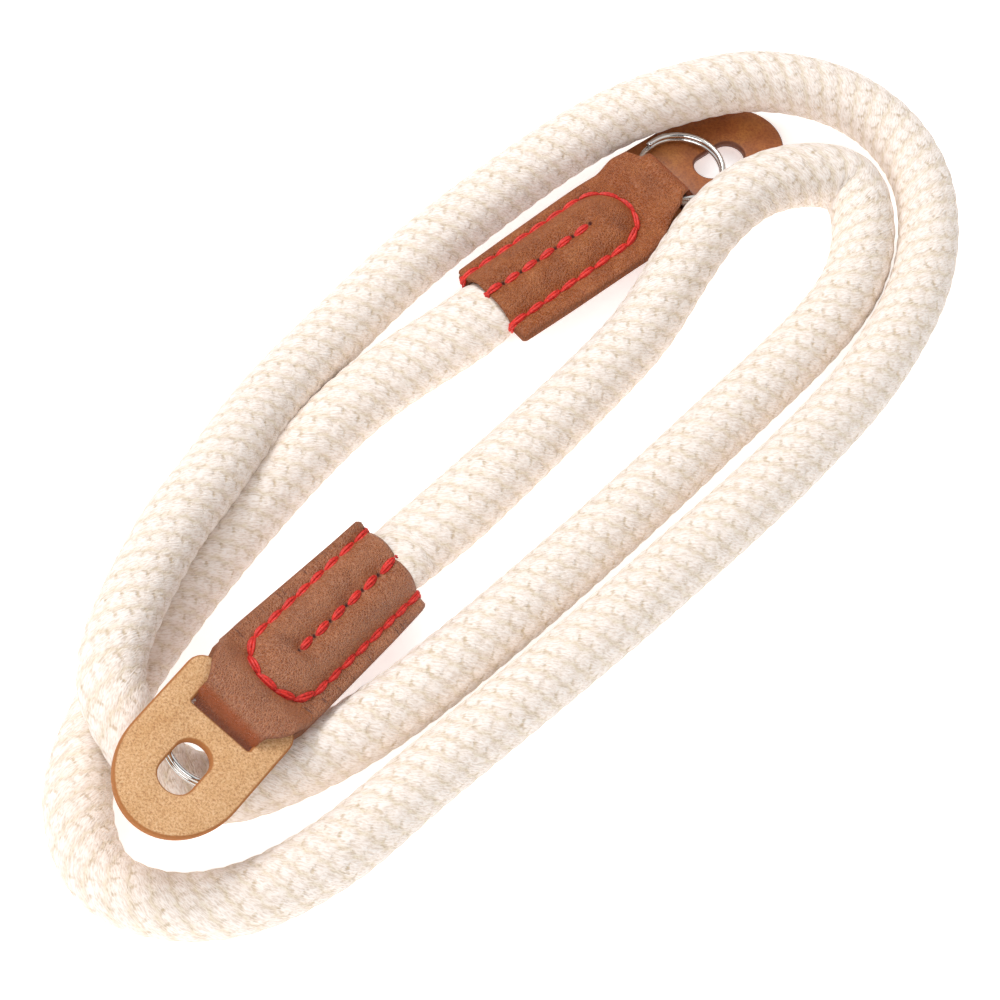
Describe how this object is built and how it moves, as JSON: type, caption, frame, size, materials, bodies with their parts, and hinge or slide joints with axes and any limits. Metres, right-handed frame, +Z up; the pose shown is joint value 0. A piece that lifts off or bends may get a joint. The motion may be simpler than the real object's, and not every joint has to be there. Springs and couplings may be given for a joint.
{
  "type": "camera strap",
  "caption": "Round rope camera shoulder strap laid in loops, with stitched leather ends that each hold a split ring and a leather guard patch",
  "frame": {"origin": "centre of the bounding box in X and Y, at its lowest point, on the surface that the strap lies on", "axes": "+Z up from that surface, +X to the right and +Y away from the viewer in the picture"},
  "size_m": [0.1647, 0.1859, 0.0301],
  "materials": {
    "cotton_rope": "cream cotton rope, round braid",
    "sheath_leather": "mid brown vegetable-tanned leather, semi-matt",
    "patch_leather": "tan leather with burnished edges",
    "ring_steel": "bright nickel-plated steel wire"
  },
  "bodies": {
    "root": {"rope": "cotton_rope", "sheath_a": "sheath_leather", "sheath_b": "sheath_leather", "patch_a": "patch_leather", "patch_b": "patch_leather", "ring_a": "ring_steel", "ring_b": "ring_steel"}
  },
  "joints": []
}
